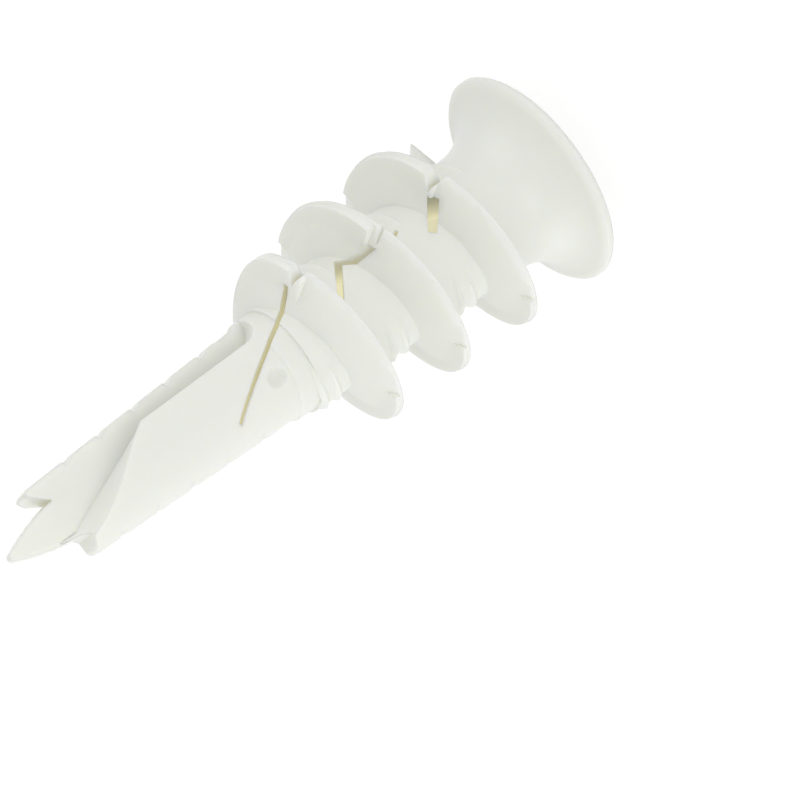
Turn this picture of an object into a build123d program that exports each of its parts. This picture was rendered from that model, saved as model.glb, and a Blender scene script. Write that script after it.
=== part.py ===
from build123d import *
import math
import os

# Self-drilling drywall anchor, one nylon moulding, right-hand thread.
# Millimetres. It stands on its head: the origin is the centre of the head's outer face,
# +Z runs along the axis to the drill point, and angles are measured about +Z from +X.

# Lengths along the axis, each from the end of the one before it
NECK_HEIGHT = 4.2
CORE_LENGTH = 15.25
SHOULDER_LENGTH = 1.2
DRILL_LENGTH = 15.15
POINT_LENGTH = 3.95
CORE_END_HEIGHT = NECK_HEIGHT + CORE_LENGTH
SHOULDER_HEIGHT = CORE_END_HEIGHT + SHOULDER_LENGTH
DRILL_HEIGHT = SHOULDER_HEIGHT + DRILL_LENGTH
POINT_HEIGHT = DRILL_HEIGHT + POINT_LENGTH

# Head, and the core between its neck and the drill
HEAD_RADIUS = 6.69
HEAD_RIM_THICKNESS = 0.6
HEAD_RIM_CHAMFER = 0.18
NECK_RADIUS = 3.82
CORE_END_RADIUS = 3.42

# Bore for the screw, and the cross recess in the head
BORE_RADIUS = 1.6
BORE_END_SPACE = 0.45
BORE_TIP_LENGTH = 10.0
BORE_TIP_RADIUS = 0.4
MOUTH_RADIUS = 2.3
MOUTH_DEPTH = 4.2
RECESS_DEPTH = 3.6
RECESS_SPAN = 7.4
RECESS_SPAN_INSIDE = 4.2
RECESS_WIDTH = 1.5
RECESS_WIDTH_INSIDE = 1.0

# High thread: it starts at this height and angle, and tapers to the drill. The heights of its
# section count from there, and its thin rim lies on the head's side of them
THREAD_RADIUS = 6.53
THREAD_TAPER = 1.0
THREAD_PITCH = 5.05
THREAD_FIRST_HEIGHT = 3.77
THREAD_FIRST_ANGLE = 28.0
THREAD_END_SPACE = 1.6
THREAD_SWEEP = 360 * (CORE_END_HEIGHT - THREAD_END_SPACE - THREAD_FIRST_HEIGHT) / THREAD_PITCH
THREAD_ROOT_RADIUS = 3.1
RIM_HEAD_SIDE = 0.42
RIM_THICKNESS = 0.14
ROOT_TIP_SIDE = 1.15
ROOT_HEAD_SIDE = 0.7
LEAD_IN_SWEEP = 112.0
LEAD_IN_ROUND = 3.75
START_SLANT = 45.0
START_TRIM = 3.0

# The mould opens along this angle. In the quarter turn before it the rim has a flat, which
# stands above the rim by one step along the draw, and by another where the mould parts
DRAW_ANGLE = 208.0
QUARTER = 90.0
HALF_TURN = 180.0
FLAT_STEP = 0.35
FLAT_PARTING_STEP = 0.66
FLAT_INSET = 0.08

# Low ribs on the core, beside each turn of the high thread
RIB_OFFSETS = (1.97, 2.9)
RIB_RISE = 0.24
RIB_HALF_WIDTH = 0.3
RIB_SHIFT = 0.36
RIB_SIDE_ANGLE = 0.0
RIB_TILT = 11.5

# Expansion slit, a zigzag in two stretches across the moulding line, as distance along the
# draw, height above the core's end, and width
SLIT_REACH = 5.0
SLIT_WIDTH = 0.42
SLIT_UPPER_PATH = [
    (2.53, 5.36, 0.14),
    (1.07, 2.57, 0.24),
    (-1.2, -1.7, 0.3),
    (0.84, -3.75, SLIT_WIDTH),
    (-1.03, -5.26, SLIT_WIDTH),
    (0.5, -6.85, 0.3),
    (0.45, -7.55, 0.26),
    (-0.36, -9.1, 0.2),
]
SLIT_LOWER_PATH = [
    (1.03, -10.55, 0.5),
    (-0.85, -12.35, 0.8),
]

# V notch in the thread's rim at each crossing of the slit, from the head on: distance along
# the draw, and half width
RIM_NOTCHES = [(-0.3, 0.62), (0.49, 0.16), (-0.55, 0.6)]
RIM_NOTCH_REACH = 5.3
RIM_NOTCH_LENGTH = 1.6

# Drill
DRILL_ROOT_RADIUS = 3.11
DRILL_FRONT_RADIUS = 2.61
SHOULDER_RADIUS = 3.24
WEB_HALF = 0.62
SPUR_LENGTH = 1.1
SPUR_INNER_REACH = 2.25
SPUR_OUTER_REACH = 2.4
SPUR_SLOPE = 0.5
BLADE_DROP = 0.25
BLADE_ROUND = 0.45
NOTCH_REACH = 1.26
POINT_SWELL = 0.14
POINT_ROUND = 0.3
POINT_TIP_FLAT = 0.22

# Flutes: the wall beside the web's floor and at the cutter's outside, straight at first, then
# slanting across to the front, and a round pocket where it runs out
FLUTE_START_SPACE = 0.9
FLUTE_ROUND = 1.2
FLUTE_WALL = 1.73
FLUTE_WALL_OUTSIDE = 2.1
FLUTE_SLANT_LENGTH = 6.9
FLUTE_SLANT_LENGTH_OUTSIDE = 5.8
FLUTE_FRONT_WALL = 0.93
FLUTE_FRONT_WALL_OUTSIDE = 3.25
POCKET_ROUND = 1.2
POCKET_REACH = 3.95
POCKET_SIDE = 0.15
POCKET_SPACE = 2.1

# Saw-tooth nicks along the drill's two edges
SERRATIONS = 5
SERRATION_SPACE = 2.3
SERRATION_SPACING = 2.56
SERRATION_STAGGER = 0.25
SERRATION_DEPTH = 0.34
SERRATION_WIDTH = 1.1
SERRATION_STEP_WIDTH = 0.12

# Round dimple in the drill's root
DIMPLE_SPACE = 0.9
DIMPLE_ANGLE = 258.0
DIMPLE_ROUND = 0.75
DIMPLE_DEPTH = 0.35

# How far a cut or a join runs past the surface that it ends on
OVERRUN = 1.0
OVERLAP = 0.1


def at_angle(angle, height=0.0):
    """A frame on the axis, turned so that its X points out at this angle."""
    return Location((0, 0, height), (0, 0, angle))


def core_radius(height):
    """Radius of the plain core, which tapers from the neck to the drill."""
    share = (height - NECK_HEIGHT) / (CORE_END_HEIGHT - NECK_HEIGHT)
    return NECK_RADIUS + (CORE_END_RADIUS - NECK_RADIUS) * share


def drill_radius(height):
    """Radius of the drill, which tapers to its front."""
    share = (height - SHOULDER_HEIGHT) / (DRILL_HEIGHT - SHOULDER_HEIGHT)
    return DRILL_ROOT_RADIUS + (DRILL_FRONT_RADIUS - DRILL_ROOT_RADIUS) * share


def make_body():
    """Head, flared neck, core and the round blank of the drill, turned in one piece."""
    face_edge = HEAD_RADIUS - HEAD_RIM_CHAMFER
    flare_start = (HEAD_RADIUS - HEAD_RIM_CHAMFER, HEAD_RIM_THICKNESS)
    neck = (NECK_RADIUS, NECK_HEIGHT)
    drill_start = SHOULDER_HEIGHT + SHOULDER_RADIUS - drill_radius(SHOULDER_HEIGHT)
    outline = Polyline(
        neck,
        (CORE_END_RADIUS, CORE_END_HEIGHT),
        (SHOULDER_RADIUS, CORE_END_HEIGHT),
        (SHOULDER_RADIUS, SHOULDER_HEIGHT),
        (drill_radius(drill_start), drill_start),
        (drill_radius(POINT_HEIGHT), POINT_HEIGHT),
        (0, POINT_HEIGHT),
        (0, 0),
        (face_edge, 0),
        (HEAD_RADIUS, HEAD_RIM_CHAMFER),
        (HEAD_RADIUS, HEAD_RIM_THICKNESS - HEAD_RIM_CHAMFER),
        flare_start,
    )
    outline += TangentArc(neck, flare_start, tangent=(0, -1))
    return at_angle(RIB_SIDE_ANGLE + QUARTER) * revolve(Plane.XZ * make_face(outline), Axis.Z)


def thread_radius(height):
    """Rim radius of the high thread, which tapers towards the drill."""
    return THREAD_RADIUS - (height - THREAD_FIRST_HEIGHT) * math.tan(math.radians(THREAD_TAPER))


def thread_height(sweep_angle):
    """Height of the thread's middle after this much winding."""
    return THREAD_FIRST_HEIGHT + THREAD_PITCH * sweep_angle / 360


def thread_section(radius):
    """Radial section of the high thread: a wide root, a steep tip side and a thin rim."""
    outline = Polyline(
        (radius, RIM_THICKNESS - RIM_HEAD_SIDE),
        (THREAD_ROOT_RADIUS, ROOT_TIP_SIDE),
        (THREAD_ROOT_RADIUS, -ROOT_HEAD_SIDE),
        (radius, -RIM_HEAD_SIDE),
        close=True,
    )
    return make_face(outline)


def make_thread_run(first_sweep, last_sweep):
    """A run of the high thread between two angles of winding."""
    height = thread_height(first_sweep)
    radius = thread_radius(height)
    rise = thread_height(last_sweep) - height
    path = Helix(THREAD_PITCH, rise, radius, cone_angle=-THREAD_TAPER)
    run = sweep(Plane.XZ * thread_section(radius), path=path, is_frenet=True)
    return at_angle(THREAD_FIRST_ANGLE + first_sweep, height) * run


def make_start_trim():
    """What is cut from the thread's first end, so that it rises from the head at a slant."""
    place = at_angle(THREAD_FIRST_ANGLE, THREAD_FIRST_HEIGHT)
    block = Box(2 * START_TRIM, START_TRIM, START_TRIM)
    return place * Rot(-START_SLANT, 0, 0) * Pos(THREAD_RADIUS, 0, -START_TRIM / 2) * block


def make_mould_flat(draw_sweep):
    """The flat of the quarter turn that ends at this winding, a ramp that lies along the draw."""
    height = thread_height(draw_sweep)
    quarter_rise = THREAD_PITCH * QUARTER / 360
    outer = thread_radius(height) - FLAT_INSET
    rim = RIM_THICKNESS - RIM_HEAD_SIDE
    low = rim - RIM_THICKNESS / 4
    profile = Polyline(
        (0, low),
        (0, rim + FLAT_STEP),
        (-outer, rim + FLAT_PARTING_STEP - quarter_rise),
        (-outer, low - quarter_rise),
        close=True,
    )
    flat = extrude(Plane.YZ * make_face(profile), outer) & Cylinder(outer, 4 * THREAD_PITCH)
    return at_angle(THREAD_FIRST_ANGLE + draw_sweep, height) * flat


def make_half_turns():
    """The high thread from its first end to its lead-in, in runs that end at the draw."""
    runs = []
    start = 0
    end = (DRAW_ANGLE - THREAD_FIRST_ANGLE) % HALF_TURN or HALF_TURN
    while start < THREAD_SWEEP:
        run = make_thread_run(start, min(end, THREAD_SWEEP))
        if start == 0:
            run -= make_start_trim()
        if start <= end - QUARTER and end <= THREAD_SWEEP:
            run += make_mould_flat(end)
        runs.append(run)
        start = end
        end += HALF_TURN
    return runs


def make_lead_in():
    """The thread's last stretch, which drops to the core along an arc, and its flat."""
    last_sweep = THREAD_SWEEP + LEAD_IN_SWEEP
    height = thread_height(THREAD_SWEEP)
    place = at_angle(THREAD_FIRST_ANGLE + THREAD_SWEEP, height)
    centre = thread_radius(height) - LEAD_IN_ROUND
    limit = place * Pos(centre, 0) * Cylinder(LEAD_IN_ROUND, 2 * THREAD_PITCH)
    past_draw = (THREAD_SWEEP + THREAD_FIRST_ANGLE - DRAW_ANGLE) % HALF_TURN
    next_draw = THREAD_SWEEP + HALF_TURN - past_draw
    pieces = [make_thread_run(THREAD_SWEEP, last_sweep)]
    if next_draw <= last_sweep:
        pieces.append(make_mould_flat(next_draw))
    return [piece & limit for piece in pieces]


def make_rib(side_sweep, offset):
    """A low crescent beside the thread: a sharp-edged disc, tilted and off centre."""
    height = thread_height(side_sweep) + offset
    foot = core_radius(height) - RIB_SHIFT
    section = Polyline(
        (0, -RIB_HALF_WIDTH),
        (foot, -RIB_HALF_WIDTH),
        (foot + RIB_RISE, 0),
        (foot, RIB_HALF_WIDTH),
        (0, RIB_HALF_WIDTH),
        close=True,
    )
    disc = Rot(0, 0, HALF_TURN) * revolve(Plane.XZ * make_face(section), Axis.Z)
    place = at_angle(THREAD_FIRST_ANGLE + side_sweep, height)
    return place * Pos(RIB_SHIFT, 0) * Rot(RIB_TILT, 0, 0) * disc


def make_ribs():
    """Two ribs above each half turn, on the two sides that face away from the slit."""
    ribs = []
    side = (RIB_SIDE_ANGLE - THREAD_FIRST_ANGLE) % HALF_TURN - HALF_TURN
    while side < THREAD_SWEEP:
        ribs += [make_rib(side, offset) for offset in RIB_OFFSETS]
        side += HALF_TURN
    return ribs


def make_bore():
    """Screw bore from its wide mouth to its narrow end inside the drill."""
    wide_end = CORE_END_HEIGHT - BORE_END_SPACE
    bore_end = wide_end + BORE_TIP_LENGTH
    section = Polyline(
        (0, -OVERRUN),
        (MOUTH_RADIUS, -OVERRUN),
        (MOUTH_RADIUS, 0),
        (BORE_RADIUS, MOUTH_DEPTH),
        (BORE_RADIUS, wide_end),
        (BORE_TIP_RADIUS, bore_end),
        (0, bore_end),
        close=True,
    )
    return revolve(Plane.XZ * make_face(section), Axis.Z)


def make_recess():
    """Cross recess for the driver: two crossed slots that narrow inwards."""
    mouth = Rectangle(RECESS_SPAN, RECESS_WIDTH)
    inside = Pos(0, 0, RECESS_DEPTH) * Rectangle(RECESS_SPAN_INSIDE, RECESS_WIDTH_INSIDE)
    slot = loft([mouth.face(), inside.face()], ruled=True)
    return slot + Rot(0, 0, 90) * slot


def make_slit_ribbon(path):
    """Outline of one stretch of the slit: its zigzag, widened to both sides."""
    sides = ([], [])
    points = [Vector(along, CORE_END_HEIGHT + height) for along, height, _ in path]
    last = len(points) - 1
    for index, here in enumerate(points):
        before = points[max(index - 1, 0)]
        after = points[min(index + 1, last)]
        normal = (after - before).normalized().rotate(Axis.Z, 90)
        half = path[index][2] / 2
        if 0 < index < last:
            half /= math.cos(math.radians((here - before).get_angle(after - here) / 2))
        sides[0].append(here + normal * half)
        sides[1].append(here - normal * half)
    return make_face(Polyline(*sides[0], *reversed(sides[1]), close=True))


def make_rim_notch(half_width):
    """The V that the slit leaves in a rim of the thread."""
    outer = THREAD_RADIUS + OVERLAP
    outline = Polyline(
        (0, RIM_NOTCH_REACH),
        (half_width, outer),
        (-half_width, outer),
        close=True,
    )
    return Pos(0, 0, -RIM_NOTCH_LENGTH / 2) * extrude(make_face(outline), RIM_NOTCH_LENGTH)


def make_slit(turned):
    """The slit through one side, with a notch in each rim that it crosses."""
    cuts = []
    for path in (SLIT_UPPER_PATH, SLIT_LOWER_PATH):
        cuts.append(extrude(Plane.XZ * make_slit_ribbon(path), -SLIT_REACH))
    sweep_angle = (DRAW_ANGLE + QUARTER + turned - THREAD_FIRST_ANGLE) % 360
    for along, half_width in RIM_NOTCHES:
        if sweep_angle < THREAD_SWEEP:
            cuts.append(Pos(along, 0, thread_height(sweep_angle)) * make_rim_notch(half_width))
        sweep_angle += 360
    return [at_angle(DRAW_ANGLE + turned) * cut for cut in cuts]


def flute_outline(wall, slant_length, front_wall):
    """A flute seen across the web, its wall straight at first, then slanting to the front."""
    reach = DRILL_ROOT_RADIUS + OVERRUN
    above = POINT_HEIGHT + OVERRUN
    start = CORE_END_HEIGHT + FLUTE_START_SPACE
    run_out = (wall + FLUTE_ROUND, start)
    wall_start = (wall, start + FLUTE_ROUND)
    outline = Polyline(
        wall_start,
        (wall, DRILL_HEIGHT - slant_length),
        (-front_wall, DRILL_HEIGHT),
        (-front_wall, above),
        (reach, above),
        (reach, start),
        run_out,
    )
    outline += RadiusArc(run_out, wall_start, FLUTE_ROUND)
    return Plane.XZ * make_face(outline)


def make_flute():
    """One flute: a flat floor beside the web, its wall slanting across towards the front."""
    depth = DRILL_ROOT_RADIUS + OVERRUN - WEB_HALF
    floor = flute_outline(FLUTE_WALL, FLUTE_SLANT_LENGTH, FLUTE_FRONT_WALL)
    outside = flute_outline(
        FLUTE_WALL_OUTSIDE, FLUTE_SLANT_LENGTH_OUTSIDE, FLUTE_FRONT_WALL_OUTSIDE
    )
    return loft([Pos(0, -WEB_HALF) * floor, Pos(0, -WEB_HALF - depth) * outside], ruled=True)


def make_pocket():
    """The round pocket that the flute runs out in."""
    height = CORE_END_HEIGHT + POCKET_SPACE
    return Pos(POCKET_REACH, -POCKET_SIDE, height) * Sphere(POCKET_ROUND)


def make_front():
    """What is cut away at the front, round the long spur, the short blade and the point."""
    reach = DRILL_ROOT_RADIUS + OVERRUN
    above = POINT_HEIGHT + OVERRUN
    crown = POINT_HEIGHT - POINT_ROUND
    middle = (DRILL_HEIGHT + crown) / 2
    swell = (NOTCH_REACH + POINT_ROUND) / 2 + POINT_SWELL
    notch = (NOTCH_REACH, DRILL_HEIGHT)
    far_notch = (-NOTCH_REACH, DRILL_HEIGHT)
    spur_top = DRILL_HEIGHT + SPUR_LENGTH
    blade_top = DRILL_HEIGHT - BLADE_DROP
    blade_edge = (BLADE_ROUND - DRILL_FRONT_RADIUS, blade_top)
    blade_side = (-DRILL_FRONT_RADIUS, blade_top - BLADE_ROUND)
    outline = Polyline(
        far_notch,
        (-NOTCH_REACH - POINT_ROUND, blade_top),
        blade_edge,
    )
    outline += TangentArc(blade_edge, blade_side, tangent=(-1, 0))
    outline += Polyline(
        blade_side,
        (-reach, blade_top - BLADE_ROUND),
        (-reach, above),
        (reach, above),
        (reach, spur_top - SPUR_SLOPE),
        (DRILL_FRONT_RADIUS, spur_top - SPUR_SLOPE),
        (SPUR_OUTER_REACH, spur_top),
        (SPUR_INNER_REACH, spur_top),
        notch,
    )
    outline += ThreePointArc(notch, (swell, middle), (POINT_ROUND, crown))
    outline += ThreePointArc((POINT_ROUND, crown), (0, POINT_HEIGHT), (-POINT_ROUND, crown))
    outline += ThreePointArc((-POINT_ROUND, crown), (-swell, middle), far_notch)
    return extrude(Plane.XZ * make_face(outline), reach, both=True)


def make_point_flat():
    """The slope that thins the centre point, on one side, towards its tip."""
    reach = DRILL_ROOT_RADIUS + OVERRUN
    outline = Polyline(
        (WEB_HALF, DRILL_HEIGHT),
        (POINT_TIP_FLAT, POINT_HEIGHT),
        (POINT_TIP_FLAT, POINT_HEIGHT + OVERRUN),
        (reach, POINT_HEIGHT + OVERRUN),
        (reach, DRILL_HEIGHT + SPUR_LENGTH),
        (WEB_HALF, DRILL_HEIGHT + SPUR_LENGTH),
        close=True,
    )
    return extrude(Plane.YZ * make_face(outline), NOTCH_REACH, both=True)


def make_serrations(stagger):
    """Saw-tooth nicks along one edge of the drill, set this much further to its front."""
    nicks = []
    for index in range(SERRATIONS):
        height = SHOULDER_HEIGHT + SERRATION_SPACE + stagger + index * SERRATION_SPACING
        edge = drill_radius(height)
        top = height + SERRATION_WIDTH / 2
        bottom = height - SERRATION_WIDTH / 2
        nick = Polyline(
            (edge + OVERLAP, top),
            (edge - SERRATION_DEPTH, top - SERRATION_STEP_WIDTH),
            (edge + OVERLAP, bottom),
            close=True,
        )
        nicks.append(extrude(Plane.XZ * make_face(nick), DRILL_ROOT_RADIUS, both=True))
    return nicks


def make_dimple():
    """Round dimple in the drill's root, beside the slit."""
    height = SHOULDER_HEIGHT + DIMPLE_SPACE
    depth = drill_radius(height) + DIMPLE_ROUND - DIMPLE_DEPTH
    return at_angle(DIMPLE_ANGLE, height) * Pos(depth, 0) * Sphere(DIMPLE_ROUND)


def make_anchor():
    """The whole moulding."""
    anchor = make_body()
    for piece in make_half_turns() + make_lead_in() + make_ribs():
        anchor += piece
    far_side = at_angle(HALF_TURN)
    removed = [make_bore(), make_recess(), make_front(), make_dimple()]
    for cut in (make_flute(), make_pocket(), make_point_flat()):
        removed += [cut, far_side * cut]
    removed += make_serrations(SERRATION_STAGGER)
    removed += [far_side * nick for nick in make_serrations(0)]
    removed += make_slit(0) + make_slit(HALF_TURN)
    for cut in removed:
        anchor -= cut
    return anchor


if __name__ == "__main__":
    os.makedirs("parts", exist_ok=True)
    export_step(make_anchor(), "parts/anchor_body.step")
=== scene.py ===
"""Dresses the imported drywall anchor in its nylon, and sets up the studio and the camera."""

import logging
import math
from dataclasses import dataclass, field
from enum import Enum

import bmesh
import bpy
from mathutils import Matrix, Vector


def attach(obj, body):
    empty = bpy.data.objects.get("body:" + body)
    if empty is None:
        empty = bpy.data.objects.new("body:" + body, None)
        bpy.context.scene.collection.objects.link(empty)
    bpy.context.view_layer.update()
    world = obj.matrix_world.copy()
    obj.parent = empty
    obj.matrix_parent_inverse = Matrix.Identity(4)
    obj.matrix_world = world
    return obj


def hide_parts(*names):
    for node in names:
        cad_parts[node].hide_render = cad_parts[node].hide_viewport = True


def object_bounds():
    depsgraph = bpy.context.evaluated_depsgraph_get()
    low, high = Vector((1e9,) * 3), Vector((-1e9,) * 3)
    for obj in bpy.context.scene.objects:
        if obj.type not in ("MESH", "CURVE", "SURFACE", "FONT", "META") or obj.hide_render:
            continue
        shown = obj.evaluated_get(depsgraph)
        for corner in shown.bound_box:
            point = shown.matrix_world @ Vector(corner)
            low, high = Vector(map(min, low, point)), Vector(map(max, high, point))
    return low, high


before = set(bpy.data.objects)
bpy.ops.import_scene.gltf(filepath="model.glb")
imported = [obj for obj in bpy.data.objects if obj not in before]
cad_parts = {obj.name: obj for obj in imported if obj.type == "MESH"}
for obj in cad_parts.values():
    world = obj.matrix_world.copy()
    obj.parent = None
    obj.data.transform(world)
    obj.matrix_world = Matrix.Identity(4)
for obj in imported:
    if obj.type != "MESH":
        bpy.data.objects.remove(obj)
CAD_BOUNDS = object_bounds()

MM = 0.001
NODE = "anchor_body"
PIECE = "anchor_moulding"
BODY = "root"
SHADER_SAMPLES = 8

Tree = bpy.types.NodeTree
Socket = bpy.types.NodeSocket

log = logging.getLogger("anchor")


class Shade(Enum):
    """Colours of the moulding and the studio, as linear red, green and blue."""

    NYLON = (0.80, 0.81, 0.765)
    # Painted shade: the deeper colour laid into crevices, where shade falls.
    NYLON_PAINTED_SHADE = (0.76, 0.75, 0.62)
    # Painted glow: warm emission in crevices and the bore, standing in for light through the
    # nylon.
    NYLON_PAINTED_GLOW = (0.78, 0.72, 0.50)
    STUDIO_WHITE = (1.0, 1.0, 1.0)
    FLOOR = (0.86, 0.86, 0.86)
    FLOOR_IN_SHADOW = (0.20, 0.20, 0.20)

    def rgba(self, share: float = 1.0) -> tuple[float, float, float, float]:
        """The colour as a node takes it, a little lighter or darker if asked.

        Args:
            share: What each part of the colour is multiplied by.

        Returns:
            Red, green, blue and a full alpha.
        """
        red, green, blue = (min(part * share, 1.0) for part in self.value)
        return red, green, blue, 1.0


@dataclass(frozen=True)
class NylonFinish:
    """Natural nylon, a little translucent, with a fine spark-eroded grain, and painted shade
    and painted glow in its gaps.

    Args:
        roughness: How matt the moulded skin is, from 0 to 1.
        refraction: Refractive index of nylon.
        scatter_depth: How far light travels inside the nylon, in metres.
        scatter_share: Share of the light that goes through the nylon.
        scatter_tint: How far red, green and blue each travel, as shares of that depth.
        cloud_scale: Clouds in each metre of the surface.
        cloud_octaves: How many finer clouds lie over the first ones.
        cloud_contrast: How far a cloud is lighter or darker than the nylon, as a share.
        grain_scale: Grains in each metre of the surface.
        grain_octaves: How many finer grains lie over the first ones.
        grain_depth: Height of the grain, in metres.
        grain_strength: How much of that height shows.
        edge_round: Radius that the mould leaves on the edges of head and thread, in metres.
        drill_edge_round: The same for the drill, whose edges are blunter, in metres.
        drill_start: Heights between which the one becomes the other, in metres.
        crevice_reach: How near a facing wall makes a crevice, in metres.
        crevice_tone: Openness at which the painted crevice shade, a deeper colour, starts to
            fade, and at which it is gone.
        crevice_lit: Openness at which the painted glow in a crevice is gone.
        crevice_glow: Strength of the painted glow in a crevice, standing in for light through
            the nylon.
        bore_glow: Strength of the painted glow in the bore, standing in for light through the
            nylon.
        bore_reach: Distance from the axis at which that painted glow is gone, in metres.
        bore_span: Heights between which the bore runs inside the core, in metres.
        bore_fade: Length over which that painted glow fades at both ends, in metres.
    """

    roughness: float = 0.42
    refraction: float = 1.52
    scatter_depth: float = 0.0011
    scatter_share: float = 0.55
    scatter_tint: tuple[float, float, float] = (1.0, 0.92, 0.62)
    cloud_scale: float = 190.0
    cloud_octaves: float = 3.0
    cloud_contrast: float = 0.015
    grain_scale: float = 5200.0
    grain_octaves: float = 4.0
    grain_depth: float = 0.000006
    grain_strength: float = 0.6
    edge_round: float = 0.00009
    drill_edge_round: float = 0.00024
    drill_start: tuple[float, float] = (0.0208, 0.0225)
    crevice_reach: float = 0.0009
    crevice_tone: tuple[float, float] = (0.06, 0.42)
    crevice_lit: float = 0.35
    crevice_glow: float = 0.25
    bore_glow: float = 0.30
    bore_reach: float = 0.0033
    bore_span: tuple[float, float] = (0.0034, 0.0200)
    bore_fade: float = 0.0012

    def make(self, name: str) -> bpy.types.Material:
        """Builds the material.

        Args:
            name: Name of the new material.

        Returns:
            The finished nylon material.
        """
        material = bpy.data.materials.new(name)
        material.use_nodes = True
        tree = material.node_tree
        skin = tree.nodes["Principled BSDF"]
        skin.inputs["Roughness"].default_value = self.roughness
        skin.inputs["IOR"].default_value = self.refraction
        skin.inputs["Subsurface Weight"].default_value = self.scatter_share
        skin.inputs["Subsurface Radius"].default_value = self.scatter_tint
        skin.inputs["Subsurface Scale"].default_value = self.scatter_depth
        place = tree.nodes.new("ShaderNodeTexCoord").outputs["Object"]
        self._colour_and_painted_light(tree, place, skin)
        self._grain(tree, place, skin)
        return material

    def _colour_and_painted_light(self, tree: Tree, place: Socket, skin: bpy.types.Node) -> None:
        """Faint clouding over the nylon, painted shade in a deeper colour in its crevices, and
        a painted warm glow in tight gaps and in the bore that stands in for light through the
        nylon.

        Args:
            tree: The material's node tree.
            place: A socket with the place on the object.
            skin: The surface shader.
        """
        nodes, links = tree.nodes, tree.links
        clouds = self._noise(tree, place, self.cloud_scale, self.cloud_octaves)
        cloud_mix = nodes.new("ShaderNodeMix")
        cloud_mix.data_type = "RGBA"
        cloud_mix.inputs["A"].default_value = Shade.NYLON.rgba(1.0 - self.cloud_contrast)
        cloud_mix.inputs["B"].default_value = Shade.NYLON.rgba(1.0 + self.cloud_contrast)
        links.new(clouds, cloud_mix.inputs["Factor"])
        # Ambient occlusion measures how closed in each point is, for the painted shade and
        # painted glow.
        crevice = nodes.new("ShaderNodeAmbientOcclusion")
        crevice.samples = SHADER_SAMPLES
        crevice.only_local = True
        crevice.inputs["Distance"].default_value = self.crevice_reach
        openness = crevice.outputs["AO"]
        # Painted shade: crevices get the deeper colour in their base colour, the more so the
        # more closed in they are.
        painted_shade_mix = nodes.new("ShaderNodeMix")
        painted_shade_mix.data_type = "RGBA"
        painted_shade_mix.inputs["A"].default_value = Shade.NYLON_PAINTED_SHADE.rgba()
        links.new(cloud_mix.outputs["Result"], painted_shade_mix.inputs["B"])
        painted_shade_mask = self._ramp(tree, openness, *self.crevice_tone, 0.0, 1.0)
        links.new(painted_shade_mask, painted_shade_mix.inputs["Factor"])
        links.new(painted_shade_mix.outputs["Result"], skin.inputs["Base Color"])
        # Painted glow: crevices and the bore emit warm light, though no lamp is there.
        glow = self._ramp(tree, openness, 0.0, self.crevice_lit, self.crevice_glow, 0.0)
        painted_glow = combined(tree, "MAXIMUM", glow, self._painted_bore_glow(tree, place))
        links.new(painted_glow, skin.inputs["Emission Strength"])
        skin.inputs["Emission Color"].default_value = Shade.NYLON_PAINTED_GLOW.rgba()

    @staticmethod
    def _noise(tree: Tree, place: Socket, scale: float, octaves: float) -> Socket:
        """Adds a noise that keeps its place on the object.

        Args:
            tree: The material's node tree.
            place: A socket with the place on the object.
            scale: Its spots in each metre.
            octaves: How many finer layers lie over the first one.

        Returns:
            A socket with the noise.
        """
        noise = tree.nodes.new("ShaderNodeTexNoise")
        noise.inputs["Scale"].default_value = scale
        noise.inputs["Detail"].default_value = octaves
        tree.links.new(place, noise.inputs["Vector"])
        return noise.outputs["Fac"]

    @staticmethod
    def _ramp(
        tree: Tree, value: Socket, start: float, end: float, first: float, last: float
    ) -> Socket:
        """Maps a value to another range, and holds its ends outside that range.

        Args:
            tree: The material's node tree.
            value: A socket with the value.
            start: Value at which the range starts.
            end: Value at which it ends.
            first: What the range gives at its start.
            last: What it gives at its end.

        Returns:
            A socket with the mapped value.
        """
        ramp = tree.nodes.new("ShaderNodeMapRange")
        tree.links.new(value, ramp.inputs["Value"])
        names = ("From Min", "From Max", "To Min", "To Max")
        for name, level in zip(names, (start, end, first, last)):
            ramp.inputs[name].default_value = level
        return ramp.outputs["Result"]

    def _painted_bore_glow(self, tree: Tree, place: Socket) -> Socket:
        """Painted glow in the bore, standing in for light through the core, faded outwards and
        at both ends.

        Args:
            tree: The material's node tree.
            place: A socket with the place on the object.

        Returns:
            A socket with the strength of that painted glow.
        """
        nodes, links = tree.nodes, tree.links
        split = nodes.new("ShaderNodeSeparateXYZ")
        links.new(place, split.inputs["Vector"])
        level = nodes.new("ShaderNodeCombineXYZ")
        links.new(split.outputs["X"], level.inputs["X"])
        links.new(split.outputs["Y"], level.inputs["Y"])
        radius = nodes.new("ShaderNodeVectorMath")
        radius.operation = "LENGTH"
        links.new(level.outputs["Vector"], radius.inputs[0])
        from_axis, height = radius.outputs["Value"], split.outputs["Z"]
        reach, fade = self.bore_reach, self.bore_fade
        low, high = self.bore_span
        near_axis = self._ramp(tree, from_axis, reach / 2, reach, self.bore_glow, 0.0)
        above_head = self._ramp(tree, height, low, low + fade, 0.0, 1.0)
        below_drill = self._ramp(tree, height, high - fade, high, 1.0, 0.0)
        past_head = combined(tree, "MULTIPLY", near_axis, above_head)
        return combined(tree, "MULTIPLY", past_head, below_drill)

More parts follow.
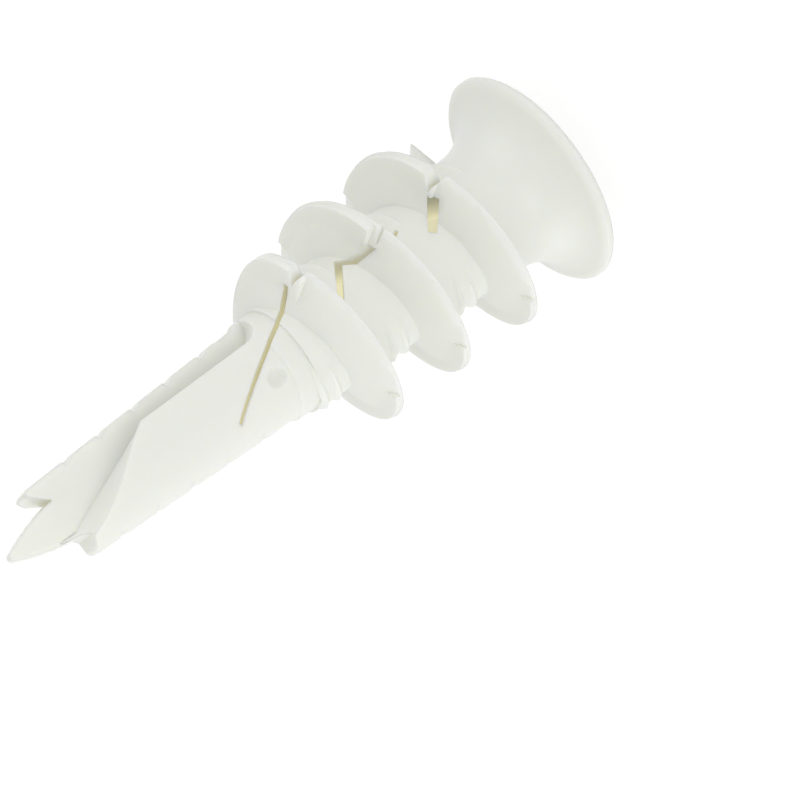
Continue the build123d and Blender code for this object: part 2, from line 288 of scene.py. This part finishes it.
    def _grain(self, tree: Tree, place: Socket, skin: bpy.types.Node) -> None:
        """Fine moulded grain as bump, over edges that the mould leaves slightly round.

        Args:
            tree: The material's node tree.
            place: A socket with the place on the object.
            skin: The surface shader.
        """
        nodes, links = tree.nodes, tree.links
        grain = self._noise(tree, place, self.grain_scale, self.grain_octaves)
        bump = nodes.new("ShaderNodeBump")
        bump.inputs["Strength"].default_value = self.grain_strength
        bump.inputs["Distance"].default_value = self.grain_depth
        split = nodes.new("ShaderNodeSeparateXYZ")
        links.new(place, split.inputs["Vector"])
        rounds = (self.edge_round, self.drill_edge_round)
        edges = nodes.new("ShaderNodeBevel")
        edges.samples = SHADER_SAMPLES
        blunter = self._ramp(tree, split.outputs["Z"], *self.drill_start, *rounds)
        links.new(blunter, edges.inputs["Radius"])
        links.new(edges.outputs["Normal"], bump.inputs["Normal"])
        links.new(grain, bump.inputs["Height"])
        links.new(bump.outputs["Normal"], skin.inputs["Normal"])


@dataclass
class Moulding:
    """The anchor itself, one nylon piece in the place of its CAD solid.

    Args:
        crease_angle: Faces that meet at more than this angle meet in an edge, in degrees.
        rim_crease_angle: The same for the thread's rim, whose edges the mould leaves soft.
        rim_radius: Radius outside which the thread's rim lies, in metres.
        rim_span: Heights between which it lies, in metres.
        weld: Corners nearer than this are one, in metres.
        finish: The nylon it is moulded in.
    """

    crease_angle: float = 32.0
    rim_crease_angle: float = 80.0
    rim_radius: float = 0.0042
    rim_span: tuple[float, float] = (0.0030, 0.0204)
    weld: float = 0.000001
    finish: NylonFinish = field(default_factory=NylonFinish)

    def build(self) -> bpy.types.Object:
        """Copies the solid, merges its triangles into one shell, and dresses it.

        Returns:
            The dressed moulding.
        """
        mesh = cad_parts[NODE].data.copy()
        mesh.name = PIECE
        piece = bpy.data.objects.new(PIECE, mesh)
        bpy.context.scene.collection.objects.link(piece)
        self._close(mesh)
        mesh.materials.clear()
        mesh.materials.append(self.finish.make("moulded_nylon"))
        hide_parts(NODE)
        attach(piece, BODY)
        return piece

    def _close(self, mesh: bpy.types.Mesh) -> None:
        """Merges the solid's loose triangles, and keeps only the real edges sharp.

        Args:
            mesh: The copy of the solid's mesh.
        """
        shell = bmesh.new()
        shell.from_mesh(mesh)
        bmesh.ops.remove_doubles(shell, verts=shell.verts, dist=self.weld)
        for edge in shell.edges:
            crease = self.rim_crease_angle if self._on_rim(edge) else self.crease_angle
            edge.smooth = edge.calc_face_angle(math.pi) < math.radians(crease)
        for face in shell.faces:
            face.smooth = True
        shell.to_mesh(mesh)
        shell.free()

    def _on_rim(self, edge: bmesh.types.BMEdge) -> bool:
        """Whether an edge lies on the thread's rim.

        Args:
            edge: An edge of the shell.

        Returns:
            True where both of its ends do.
        """
        low, high = self.rim_span
        ends = [vert.co for vert in edge.verts]
        return all(end.xy.length > self.rim_radius and low < end.z < high for end in ends)


@dataclass(frozen=True)
class SoftBox:
    """A square area lamp.

    Args:
        name: Name of the lamp.
        place: Where it stands, in metres.
        size: Its side, in metres.
        power: Its power, in watts.
    """

    name: str
    place: tuple[float, float, float]
    size: float
    power: float

    def build(self, target: Vector) -> bpy.types.Object:
        """Adds the lamp, turned to a target.

        Args:
            target: What it faces, in metres.

        Returns:
            The new lamp.
        """
        light = bpy.data.lights.new(self.name, "AREA")
        light.size = self.size
        light.energy = self.power
        lamp = bpy.data.objects.new(self.name, light)
        bpy.context.scene.collection.objects.link(lamp)
        lamp.location = self.place
        lamp.rotation_mode = "QUATERNION"
        lamp.rotation_quaternion = (target - lamp.location).to_track_quat("-Z", "Y")
        return lamp


@dataclass
class Studio:
    """Pale floor, white surround and soft lamps.

    Args:
        floor_side: Side of the square floor, in metres.
        floor_gap: How far it lies under the head's face, in metres.
        floor_glow: White that the floor adds to itself where the camera sees it.
        ambient: Strength of the white surround on the object.
        lamps: The soft boxes.
    """

    floor_side: float = 0.9
    floor_gap: float = 0.0025
    floor_glow: float = 0.88
    ambient: float = 0.728
    lamps: tuple[SoftBox, ...] = (
        SoftBox("key_lamp", (-0.16, -0.33, 0.005), 0.24, 0.59),
        SoftBox("fill_lamp", (0.34, -0.10, 0.09), 0.30, 0.31),
        SoftBox("back_lamp", (-0.30, 0.10, 0.10), 0.30, 0.32),
    )

    def build(self) -> None:
        """Builds the floor, the surround and the lamps, which face the anchor's middle."""
        self._world()
        self._floor()
        low, high = CAD_BOUNDS
        middle = (low + high) / 2
        for lamp in self.lamps:
            lamp.build(middle)
            log.info("%s: %.2f W", lamp.name, lamp.power)

    def _world(self) -> None:
        """White to the camera, plain soft light to everything else."""
        world = bpy.data.worlds.new("surround")
        world.use_nodes = True
        bpy.context.scene.world = world
        tree = world.node_tree
        nodes, links = tree.nodes, tree.links
        nodes.clear()
        out = nodes.new("ShaderNodeOutputWorld")
        lit = nodes.new("ShaderNodeBackground")
        lit.inputs["Strength"].default_value = self.ambient
        seen = nodes.new("ShaderNodeBackground")
        seen.inputs["Strength"].default_value = 1.0
        for shader in (lit, seen):
            shader.inputs["Color"].default_value = Shade.STUDIO_WHITE.rgba()
        mix = nodes.new("ShaderNodeMixShader")
        links.new(seen_directly(tree), mix.inputs["Fac"])
        links.new(lit.outputs["Background"], mix.inputs[1])
        links.new(seen.outputs["Background"], mix.inputs[2])
        links.new(mix.outputs["Shader"], out.inputs["Surface"])

    def _floor(self) -> None:
        """A plain floor, white to the camera but for the object's faint shadow."""
        sheet = bmesh.new()
        bmesh.ops.create_grid(sheet, x_segments=1, y_segments=1, size=self.floor_side / 2)
        mesh = bpy.data.meshes.new("floor")
        sheet.to_mesh(mesh)
        sheet.free()
        floor = bpy.data.objects.new("floor", mesh)
        floor.location.z = -self.floor_gap
        bpy.context.scene.collection.objects.link(floor)
        mesh.materials.append(self._floor_material())
        log.info("%s: %.1f m square", floor.name, self.floor_side)

    def _floor_material(self) -> bpy.types.Material:
        """Matt floor that adds a white glow of its own where the camera sees it.

        Returns:
            The floor's material.
        """
        material = bpy.data.materials.new("pale_floor")
        material.use_nodes = True
        tree = material.node_tree
        nodes, links = tree.nodes, tree.links
        nodes.clear()
        out = nodes.new("ShaderNodeOutputMaterial")
        plain = nodes.new("ShaderNodeBsdfDiffuse")
        plain.inputs["Color"].default_value = Shade.FLOOR.rgba()
        shadowed = nodes.new("ShaderNodeBsdfDiffuse")
        shadowed.inputs["Color"].default_value = Shade.FLOOR_IN_SHADOW.rgba()
        glow = nodes.new("ShaderNodeEmission")
        glow.inputs["Strength"].default_value = self.floor_glow
        bright = nodes.new("ShaderNodeAddShader")
        mix = nodes.new("ShaderNodeMixShader")
        links.new(shadowed.outputs["BSDF"], bright.inputs[0])
        links.new(glow.outputs["Emission"], bright.inputs[1])
        links.new(seen_directly(tree), mix.inputs["Fac"])
        links.new(plain.outputs["BSDF"], mix.inputs[1])
        links.new(bright.outputs["Shader"], mix.inputs[2])
        links.new(mix.outputs["Shader"], out.inputs["Surface"])
        return material


def combined(tree: Tree, operation: str, first: Socket, second: Socket) -> Socket:
    """Adds a math node over two values.

    Args:
        tree: The node tree of a material or the world.
        operation: What the node does with them, such as MAXIMUM.
        first: A socket with the first value.
        second: A socket with the second value.

    Returns:
        A socket with what comes out.
    """
    node = tree.nodes.new("ShaderNodeMath")
    node.operation = operation
    tree.links.new(first, node.inputs[0])
    tree.links.new(second, node.inputs[1])
    return node.outputs["Value"]


def seen_directly(tree: Tree) -> Socket:
    """Whether a ray comes from the camera, from a reflection or through something clear.

    Args:
        tree: The node tree of a material or the world.

    Returns:
        A socket that is 1 for such a ray and 0 for any other.
    """
    rays = tree.nodes.new("ShaderNodeLightPath").outputs
    mirrored = combined(tree, "MAXIMUM", rays["Is Camera Ray"], rays["Is Glossy Ray"])
    return combined(tree, "MAXIMUM", mirrored, rays["Is Transmission Ray"])


@dataclass
class PhotoCamera:
    """The camera at the photograph's viewing angle.

    Args:
        elevation: How far it stands above the horizon, in degrees.
        roll: How far the picture is turned, as the axis's angle to its sides, in degrees.
        distance: From the camera to the anchor's middle, in metres.
        pixels_per_mm: Scale of the picture at the anchor's middle.
        aim_height: Height of the anchor's middle, in metres.
        head_pixel: Where the middle of the head's outer face lies in the picture.
        picture: Side of the square picture, in pixels.
        sensor: Side of the camera's sensor, in millimetres.
    """

    elevation: float = 24.16
    roll: float = 36.43
    distance: float = 0.6
    pixels_per_mm: float = 17.83
    aim_height: float = 0.014
    head_pixel: tuple[float, float] = (534.06, 174.6)
    picture: float = 800.0
    sensor: float = 36.0

    def build(self) -> bpy.types.Object:
        """Places the camera so that the head's face falls on its pixel.

        Returns:
            The scene's camera.
        """
        rise, turn = math.radians(self.elevation), math.radians(self.roll)
        along = Vector((0.0, -math.sin(rise), -math.cos(rise)))
        across = Vector((1.0, 0.0, 0.0))
        right = along * math.cos(turn) - across * math.sin(turn)
        up = along * math.sin(turn) + across * math.cos(turn)
        back = right.cross(up)
        aim = Vector((0.0, 0.0, self.aim_height))
        to_head = -aim
        pixels_per_metre = self.pixels_per_mm / MM
        scale = pixels_per_metre * self.distance / (self.distance - to_head.dot(back))
        aim_x = self.head_pixel[0] - to_head.dot(right) * scale
        aim_y = self.head_pixel[1] + to_head.dot(up) * scale
        half = self.picture / 2
        side = (half - aim_x) / pixels_per_metre
        lift = (aim_y - half) / pixels_per_metre
        data = bpy.data.cameras.new("photo_camera")
        data.sensor_width = self.sensor
        data.lens = self.sensor * self.distance * pixels_per_metre / self.picture
        data.clip_start = self.distance / 10
        data.clip_end = self.distance * 10
        camera = bpy.data.objects.new("photo_camera", data)
        bpy.context.scene.collection.objects.link(camera)
        turned = Matrix((right, up, back)).transposed().to_4x4()
        place = aim + right * side + up * lift + back * self.distance
        camera.matrix_world = Matrix.Translation(place) @ turned
        bpy.context.scene.camera = camera
        return camera


def main() -> None:
    """Builds the camera, the studio and the moulding, and logs the moulding's face count."""
    logging.basicConfig(level=logging.INFO, format="%(name)s: %(message)s")
    bpy.context.scene.view_settings.view_transform = "Standard"
    PhotoCamera().build()
    Studio().build()
    piece = Moulding().build()
    log.info("%s: %d faces", piece.name, len(piece.data.polygons))


if __name__ == "__main__":
    main()
